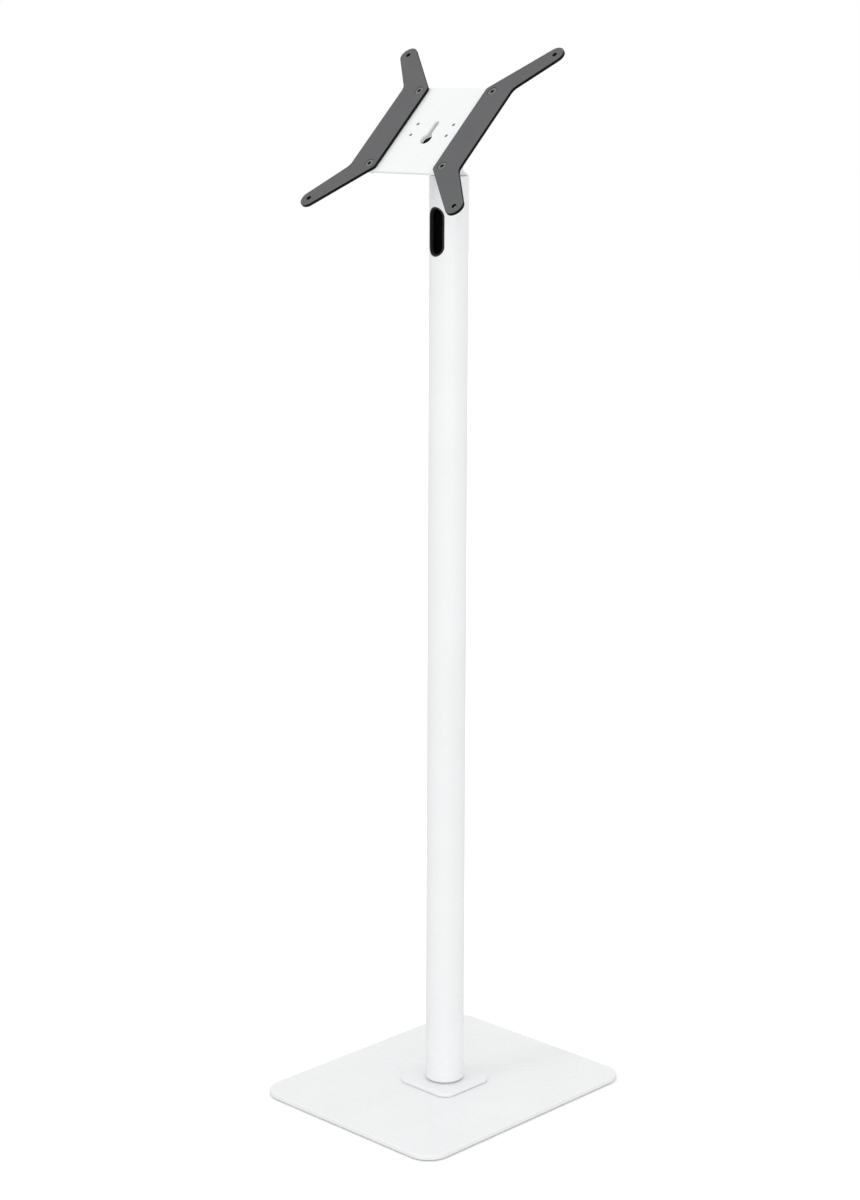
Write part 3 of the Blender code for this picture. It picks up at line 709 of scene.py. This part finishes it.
def build_yoke(cast):
    low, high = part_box("head_yoke")
    half = high.x
    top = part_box("pole_tube")[1].z
    piece = body("yoke", moved(prism(yoke_side(), -half, half), ALONG_X))
    soften(piece, 0.7 * MM, 4, 50)
    lock, groove = middle(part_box("swivel_lock_screw")).z, 3.6 * MM
    spigot = [(0, low.z), (SPIGOT - MM, low.z), (SPIGOT, low.z + MM), (SPIGOT, lock - groove),
              (SPIGOT_GROOVE, lock - groove), (SPIGOT_GROOVE, lock + groove), (SPIGOT, lock + groove),
              (SPIGOT, top - 0.8 * MM), (SPIGOT - 0.4 * MM, top - 0.4 * MM)]
    collar = [(12 * MM, top - 0.4 * MM), (11.3 * MM, top - 0.1 * MM), (11 * MM, top + 0.6 * MM),
              (11 * MM, top + 4 * MM), (0, top + 4 * MM)]
    combine(piece, turned(spigot + collar, 96), "UNION")
    gap, floor, clear = 10.4 * MM, PIVOT.z - 12.3 * MM, PIVOT.z + 30 * MM
    slot = [(-gap, floor, 2 * MM), (gap, floor, 2 * MM), (gap, clear, 0), (-gap, clear, 0)]
    cut(piece, moved(prism(rounded(slot, 8), -40 * MM, 40 * MM), ALONG_Y))
    mouth, end, face = BOLT_BORE + 15 * MM, 30 * MM, half - 0.35 * MM
    hole = [(0, -end), (mouth, -end), (BOLT_BORE, -face), (BOLT_BORE, face), (mouth, end), (0, end)]
    cut(piece, moved(turned(hole, 56), ON_PIVOT))
    dress(shade(piece), cast, "white_casting", "head", "head_yoke")


def build_washers(steel, plastic):
    kinds = (("pivot_washer", steel, "zinc_steel"), ("friction_washer", plastic, "plastic"))
    for kind, skin, slot in kinds:
        for node in (f"{kind}_left", f"{kind}_right"):
            low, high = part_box(node)
            radius, edge = (high.z - low.z) / 2, 0.2 * MM
            profile = [(BOLT_BORE, low.x), (radius - edge, low.x), (radius, low.x + edge),
                       (radius, high.x - edge), (radius - edge, high.x), (BOLT_BORE, high.x)]
            solid = moved(turned(profile, 64), at(y=PIVOT.y, z=PIVOT.z) @ ALONG_X)
            dress(shade(body(f"{node}_disc", solid)), skin, slot, "head", node)


def build_pivot_bolt(steel):
    low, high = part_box("pivot_bolt")
    shank, pitch, head = 4 * MM, 1.25 * MM, 7 * MM
    root = shank - 0.35 * MM
    face = high.x - 4.4 * MM
    start = -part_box("head_yoke")[1].x + 2 * MM
    thread = []
    for k in range(int((start - low.x - 0.9 * MM) / pitch)):
        x = low.x + 0.8 * MM + k * pitch
        thread += [(root, x), (shank, x + 0.42 * pitch), (shank, x + 0.58 * pitch)]
    tip = [(0, low.x), (shank - 0.8 * MM, low.x), (root, low.x + 0.5 * MM)]
    plain = [(shank - 0.02 * MM, start), (shank, start + MM), (shank, face)]
    rim = [(head - 0.3 * MM, face), (head, face + 0.3 * MM), (head, face + 1.2 * MM)]
    crown = arc_profile(head, face + 1.2 * MM, high.x)
    piece = body("pivot_bolt_turned", turned([*tip, *thread, *plain, *rim, *crown, (0, high.x)], 64))
    cut(piece, prism(hexagon(5 * MM), face + 1.7 * MM, face + 8 * MM))
    piece.data.transform(at(y=PIVOT.y, z=PIVOT.z) @ ALONG_X)
    dress(shade(piece), steel, "zinc_steel", "head", "pivot_bolt")


def arc_profile(radius, low, high):
    """A button head's crown, from its edge to a small flat on top."""
    flat, steps = 0.5 * radius, 10
    turns = [math.pi / 2 * k / steps for k in range(1, steps + 1)]
    return [(flat + (radius - flat) * math.cos(a), low + (high - low) * math.sin(a)) for a in turns]


def build_pivot_nut(steel, plastic):
    """A lock nut: the hexagon, the thin collar above it, and the plastic insert inside."""
    low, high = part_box("pivot_nut")
    top, shoulder = high.x - low.x, 5.6 * MM
    nut = nut_body("pivot_nut_hex", 13 * MM, shoulder, BOLT_BORE)
    bore = BOLT_BORE + 0.8 * MM
    collar = [(bore, shoulder - MM), (6.1 * MM, shoulder - MM), (6.1 * MM, shoulder + 0.7 * MM),
              (5.8 * MM, top - 0.5 * MM), (5.3 * MM, top), (4.9 * MM, top - 0.2 * MM),
              (bore, top - 0.4 * MM)]
    combine(nut, turned(collar, 64), "UNION")
    place = Matrix.Translation((high.x, PIVOT.y, PIVOT.z)) @ Matrix.Rotation(math.radians(-90), 4, "Y")
    nut.data.transform(place)
    dress(shade(nut), steel, "zinc_steel", "head", "pivot_nut")
    outer = BOLT_BORE + 0.7 * MM
    ring = [(BOLT_BORE - 0.25 * MM, shoulder + 0.2 * MM), (outer, shoulder + 0.2 * MM),
            (outer, top - 0.5 * MM), (BOLT_BORE - 0.1 * MM, top - 0.5 * MM)]
    insert = body("pivot_nut_insert", moved(turned(ring, 56), place))
    dress(shade(insert), plastic, "plastic", "head")


# ---------------------------------------------------------------- tilting plate and arms

def build_knuckle(cast, inside, machined_shade):
    """The lug, flared into its flange, with the bolt hole and the pocket behind the keyhole."""
    low, high = plate_box("tilt_knuckle")
    flange_low = high.z - FLANGE_THICKNESS
    flare = [(BOSS, 0, 0), (BOSS, flange_low, 3.5 * MM), (BOSS + 9 * MM, flange_low, 0)]
    right = rounded(flare, 8)[1:-1]
    root = right[-1][0]
    side = arc((0, 0), BOSS, 180, 360, 40)[1:-1] + right
    side += [(root, flange_low + MM), (-root, flange_low + MM)]
    side += [(-y, z) for y, z in reversed(right)]
    piece = body("knuckle", moved(prism(side, -LUG_HALF_WIDTH, LUG_HALF_WIDTH), ALONG_X))
    soften(piece, 0.7 * MM, 3, 50)
    shift = middle((low, high)).y
    outline = [(x, y + shift) for x, y in rectangle(high.x - low.x, FLANGE_DEPTH, PLATE_CORNER)]
    flange = body("flange_tool", prism(outline, flange_low, high.z))
    soften(flange, 0.5 * MM, 3)
    solid = bmesh.new()
    solid.from_mesh(flange.data)
    bpy.data.objects.remove(flange)
    combine(piece, solid, "UNION")
    cut(piece, moved(rod(BOLT_BORE, -30 * MM, 30 * MM, 56), ALONG_X))
    for node in FLANGE_SCREWS:
        centre = middle(plate_box(node))
        cut(piece, moved(rod(1.65 * MM, 15 * MM, 40 * MM, 32), at(centre.x, centre.y)))
    cut(piece, moved(rod(KEYHOLE_RADIUS, POCKET_FLOOR, 40 * MM, 64), at(y=KEYHOLE_LOW)))
    paint_knuckle(piece, high.z, cast, inside, machined_shade)
    piece.data.transform(PLATE_FRAME)
    dress(shade(piece), cast, "white_casting", "display_mount", "tilt_knuckle")


def paint_knuckle(piece, top, cast, inside, machined_shade):
    """Paints the pocket near black below its rim, unpainted metal darkened as painted shade in the recess, and
    gives the face that meets the plate its milled grey skin, darkened as painted shade where the keyhole shows it.
    """
    solid = bmesh.new()
    solid.from_mesh(piece.data)
    painted_depth = top - POCKET_PAINT
    bmesh.ops.bisect_plane(solid, geom=solid.verts[:] + solid.edges[:] + solid.faces[:],
                           plane_co=(0, 0, painted_depth), plane_no=(0, 0, 1))
    solid.to_mesh(piece.data)
    solid.free()
    for skin in (cast, inside, machined_shade):
        piece.data.materials.append(skin)
    reach = KEYHOLE_RADIUS + 0.02 * MM
    for face in piece.data.polygons:
        height = face.center.z
        corners = [piece.data.vertices[i].co for i in face.vertices]
        near = all(math.hypot(c.x, c.y - KEYHOLE_LOW) < reach for c in corners)
        # Pocket walls and floor below the white rim: near-black skin, painted shade in the recess.
        face.material_index = 1 if near and POCKET_FLOOR - 0.01 * MM < height < painted_depth else 0
        # The face that meets the plate: milled grey, darkened as painted shade.
        if height > top - 0.1 * MM and face.normal.z > 0.9:
            face.material_index = 2


def keyhole():
    """A round hole with a narrow slot rising from it, as one outline."""
    meet = math.degrees(math.asin(KEYHOLE_SLOT / KEYHOLE_RADIUS))
    return (arc((0, KEYHOLE_LOW), KEYHOLE_RADIUS, 90 + meet, 450 - meet, 56)
            + arc((0, KEYHOLE_HIGH), KEYHOLE_SLOT, 0, 180, 28))


def hole_with_rim(radius, low, high, rim=0.25 * MM, segments=48):
    """A drill through a plate that also breaks the edge of both faces."""
    wide = radius + rim + MM
    return turned([(0, low - MM), (wide, low - MM), (radius, low + rim),
                   (radius, high - rim), (wide, high + MM), (0, high + MM)], segments)


def build_plate(white):
    low, high = plate_box("vesa_plate")
    outline = rectangle(high.x - low.x, high.y - low.y, PLATE_CORNER, 12)
    piece = body("plate", prism(outline, low.z, high.z))
    soften(piece, 0.55 * MM, 4)
    cut(piece, prism(keyhole(), low.z - MM, high.z + MM))
    soften_hole_rims(piece, high.z)
    for node in FLANGE_SCREWS:
        centre = middle(plate_box(node))
        cut(piece, moved(hole_with_rim(1.9 * MM, low.z, high.z, 0.15 * MM, 32), at(centre.x, centre.y)))
    for node in ARM_SCREWS:
        centre = middle(plate_box(node))
        cut(piece, moved(hole_with_rim(2.8 * MM, low.z, high.z), at(centre.x, centre.y)))
    piece.data.transform(PLATE_FRAME)
    dress(shade(piece), white, "white_powder", "display_mount", "vesa_plate")


def soften_hole_rims(piece, height):
    """Breaks the edge between the upper face and the walls of a cut-out in it."""
    solid = bmesh.new()
    solid.from_mesh(piece.data)
    rims = [e for e in solid.edges if e.is_manifold and e.calc_face_angle() > math.radians(80)
            and all(abs(v.co.z - height) < 1e-5 for v in e.verts)]
    bmesh.ops.bevel(solid, geom=rims, offset=0.45 * MM, segments=3, profile=0.5, affect="EDGES")
    solid.to_mesh(piece.data)
    solid.free()


def arm_outline(low, high):
    """A right-hand boomerang arm, in the plate's frame."""
    tip = (high.x - ARM_TIP, high.y - ARM_TIP)
    inner = (low.x, ARM_BEND_HEIGHT)
    outer = (ARM_OUTER_EDGE, ARM_BEND_HEIGHT)
    left = tangent(inner, tip, ARM_TIP, 1)
    right = tangent(outer, tip, ARM_TIP, -1)
    start = math.degrees(math.atan2(left[1] - tip[1], left[0] - tip[0]))
    end = math.degrees(math.atan2(right[1] - tip[1], right[0] - tip[0]))
    bend = rounded([(low.x, 0, 0), (*inner, 6 * MM), (*left, 0)], 10)[1:-1]
    crook = rounded([(*right, 0), (*outer, 12 * MM), (outer[0], 0, 0)], 10)[1:-1]
    upper = bend + arc(tip, ARM_TIP, start, end, 40) + crook
    return upper + [(x, -y) for x, y in reversed(upper)]


def build_arms(dark, edge):
    outline = arm_outline(*plate_box("arm_right"))
    for node, side in (("arm_left", -1), ("arm_right", 1)):
        low, high = plate_box(node)
        piece = body(f"{node}_sheet", prism([(side * x, y) for x, y in outline], low.z, high.z))
        piece.data.materials.append(dark)
        piece.data.materials.append(edge)
        soften(piece, 0.4 * MM, 3)
        sink = countersink(low.z, high.z)
        for y in (-ARM_SCREW_OFFSET, ARM_SCREW_OFFSET):
            cut(piece, moved(turned(sink, 56), at(side * ARM_SCREW_OFFSET, y)))
        for y in (-ARM_TIP_OFFSET, ARM_TIP_OFFSET):
            drill = hole_with_rim(ARM_TIP_HOLE, low.z, high.z, 0.15 * MM)
            cut(piece, moved(drill, at(side * ARM_TIP_OFFSET, y)))
        # Every face off the plate's plane, the sides and the rounded edges, gets the near-black edge skin: painted
        # shade.
        for face in piece.data.polygons:
            face.material_index = 0 if abs(face.normal.z) > 0.95 else 1
        piece.data.transform(PLATE_FRAME)
        dress(shade(piece), dark, "dark_powder", "display_mount", node)


def countersink(low, high):
    """Profile of an arm's screw hole, with the screw's head just below the face."""
    head, neck = 4.7 * MM, ARM_SCREW_SHANK + SCREW_GAP
    mouth, rim = head + SCREW_GAP, high - 0.2 * MM - 0.4 * MM
    return [(0, low - MM), (neck, low - MM), (neck, rim - head + ARM_SCREW_SHANK), (mouth, rim),
            (mouth, high - 0.1 * MM), (mouth + 1.1 * MM, high + MM), (0, high + MM)]


def build_arm_fasteners(coat, bare_and_shade, steel):
    boxes = [plate_box(node) for node in ARM_SCREWS]
    low, high = boxes[0]
    head = (high.x - low.x) / 2
    screw = screw_body("arm_screw", head, ARM_SCREW_SHANK, high.z - low.z, 3.6 * MM, 2.2 * MM)
    screw.data.materials.append(coat)
    screw.data.materials.append(bare_and_shade)
    for face in screw.data.polygons:
        spot = face.center
        # The hexagon socket gets the near-black unpainted skin: painted shade in the recess.
        socket_painted_shade = math.hypot(spot.x, spot.y) < 2.2 * MM and -2.3 * MM < spot.z < -0.12 * MM
        face.material_index = 1 if socket_painted_shade else 0
    spots = [middle(box) for box in boxes]
    placed_copies(screw, "arm_fixing", [PLATE_FRAME @ at(s.x, s.y, high.z) for s in spots],
                  coat, "dark_powder", "display_mount", ARM_SCREWS)
    nuts = [f"arm_nut_{n}" for n in (1, 2, 3, 4)]
    low, high = plate_box("arm_nut_1")
    nut = nut_body("arm_nut", 8 * MM, high.z - low.z, 2.8 * MM)
    placed_copies(nut, "arm_nut_hex", [PLATE_FRAME @ at(s.x, s.y, low.z) for s in spots],
                  steel, "zinc_steel", "display_mount", nuts)


def build_flange_screws(black):
    boxes = [plate_box(node) for node in FLANGE_SCREWS]
    low, high = boxes[0]
    length = high.z - low.z
    neck, head, shank, pitch = 2 * MM, 2.8 * MM, 1.35 * MM, 0.5 * MM
    thread = []
    for k in range(int((length - neck - 0.8 * MM) / pitch)):
        z = neck + 0.3 * MM + k * pitch
        thread += [(shank, z), (shank - 0.13 * MM, z + 0.5 * pitch)]
    crown = [(0, 0), (head - 0.7 * MM, 0), (head - 0.2 * MM, 0.4 * MM), (head, MM),
             (head, neck), (shank, neck)]
    tip = [(shank, length - 0.25 * MM), (shank - 0.25 * MM, length), (0, length)]
    screw = body("flange_screw", turned([*crown, *thread, *tip], 40))
    cut(screw, prism(hexagon(2 * MM), -MM, 1.2 * MM))
    spots = [middle(box) for box in boxes]
    placed_copies(screw, "flange_fixing", [PLATE_FRAME @ at(s.x, s.y, low.z) for s in spots],
                  black, "black_steel", "display_mount", FLANGE_SCREWS)


# ---------------------------------------------------------------- studio

def build_floor():
    """A white floor: the camera sees it glow more with distance, other rays see plain pale grey."""
    solid = bmesh.new()
    bmesh.ops.create_grid(solid, x_segments=8, y_segments=8, size=9)
    floor = body("studio_floor", solid)
    if floor.data.polygons[0].normal.z < 0:
        floor.data.flip_normals()
    skin = Skin("studio_floor_white", 0.9, specular=0.0)
    low, high = shades((0.94, 0.94, 0.94), 0.01)
    skin.colour(skin.blended(skin.spread(skin.noise(0.5, 2), 0, 1), low, high))
    skin.shader.inputs["Emission Color"].default_value = (1, 1, 1, 1)
    reach = skin.nodes.new("ShaderNodeVectorMath")
    reach.operation = "LENGTH"
    skin.links.new(skin.place, reach.inputs[0])
    glow = skin.spread(reach.outputs["Value"], 0.10, 0.4, 0.3, 2.4)
    skin.links.new(glow, skin.shader.inputs["Emission Strength"])
    dull = skin.nodes.new("ShaderNodeBsdfDiffuse")
    dull.inputs["Color"].default_value = (0.75, 0.75, 0.75, 1)
    path = skin.nodes.new("ShaderNodeLightPath")
    mix = skin.nodes.new("ShaderNodeMixShader")
    skin.links.new(path.outputs["Is Camera Ray"], mix.inputs[0])
    skin.links.new(dull.outputs[0], mix.inputs[1])
    skin.links.new(skin.shader.outputs[0], mix.inputs[2])
    skin.links.new(mix.outputs[0], skin.nodes["Material Output"].inputs["Surface"])
    skin.material.cycles.emission_sampling = "NONE"
    floor.data.materials.append(skin.material)


def build_world():
    """A white surround that the camera sees a little brighter than it lights."""
    world = bpy.data.worlds.new("studio")
    world.use_nodes = True
    nodes, links = world.node_tree.nodes, world.node_tree.links
    light = nodes["Background"]
    light.inputs["Color"].default_value = (1, 1, 1, 1)
    light.inputs["Strength"].default_value = 0.92
    seen = nodes.new("ShaderNodeBackground")
    seen.inputs["Color"].default_value = (1, 1, 1, 1)
    seen.inputs["Strength"].default_value = 1.0
    path = nodes.new("ShaderNodeLightPath")
    mix = nodes.new("ShaderNodeMixShader")
    links.new(path.outputs["Is Camera Ray"], mix.inputs[0])
    links.new(light.outputs[0], mix.inputs[1])
    links.new(seen.outputs[0], mix.inputs[2])
    links.new(mix.outputs[0], nodes["World Output"].inputs["Surface"])
    bpy.context.scene.world = world


def soft_light(name, azimuth, elevation, spread, strength):
    """A sun lamp, its direction in degrees as seen from the stand: azimuth 0 is +X and 90 is +Y."""
    data = bpy.data.lights.new(name, "SUN")
    data.energy = strength
    data.angle = math.radians(spread)
    light = bpy.data.objects.new(name, data)
    bpy.context.scene.collection.objects.link(light)
    turn, rise = math.radians(azimuth), math.radians(elevation)
    towards = Vector((math.cos(turn) * math.cos(rise), math.sin(turn) * math.cos(rise), math.sin(rise)))
    light.rotation_euler = (-towards).to_track_quat("-Z", "Y").to_euler()


def build_lights():
    soft_light("overhead", 90, 82, 60, 0.10)
    soft_light("key", -104, 40, 20, 0.26)
    soft_light("front", -36, 6, 60, 0.95)


def build_camera():
    """Front right of the stand, a little above it, looking slightly down."""
    azimuth, pitch, roll = math.radians(44.013), math.radians(10.373), math.radians(0.219)
    level = math.cos(pitch)
    forward = Vector((-math.sin(azimuth) * level, math.cos(azimuth) * level, -math.sin(pitch)))
    data = bpy.data.cameras.new("camera")
    data.lens = 73.08
    data.sensor_width = 36
    data.shift_x, data.shift_y = 0.0006, -0.0674
    camera = bpy.data.objects.new("camera", data)
    bpy.context.scene.collection.objects.link(camera)
    place = Matrix.Translation((1.6923, -1.7783, 1.0654))
    camera.matrix_world = (place
                           @ forward.to_track_quat("-Z", "Y").to_matrix().to_4x4()
                           @ Matrix.Rotation(roll, 4, "Z"))
    bpy.context.scene.camera = camera


# ---------------------------------------------------------------- the whole

def main():
    white = white_powder_coat()
    dark = dark_powder_coat()
    edge = painted_shade_edge()
    screw_coat = dark_screw_coat()
    cast = painted_casting()
    bare_and_shade = bare_metal_and_painted_shade()
    black = black_oxide()
    steel = zinc()
    soft_black = black_rubber()
    plastic = moulded_plastic()

    build_base(white)
    build_foot(white)
    build_pads(soft_black)
    build_pole(white, bare_and_shade)
    build_grommets(soft_black)
    build_foot_ring(pale_rubber_shade_line())
    build_foot_fasteners(steel)
    build_head_bush(plastic)
    build_lock_screw(black)

    build_yoke(cast)
    build_washers(steel, plastic)
    build_pivot_bolt(steel)
    build_pivot_nut(steel, plastic)

    build_knuckle(cast, bare_and_shade, machined_face_and_shade())
    build_plate(white)
    build_arms(dark, edge)
    build_arm_fasteners(screw_coat, bare_and_shade, steel)
    build_flange_screws(black)
    plug_skins = frame["nodes"]["pole_base_plug"].data.materials
    plug_skins.clear()
    plug_skins.append(steel)

    build_floor()
    build_world()
    build_lights()
    build_camera()
    view = bpy.context.scene.view_settings
    view.view_transform = "Standard"
    view.look = "None"


main()
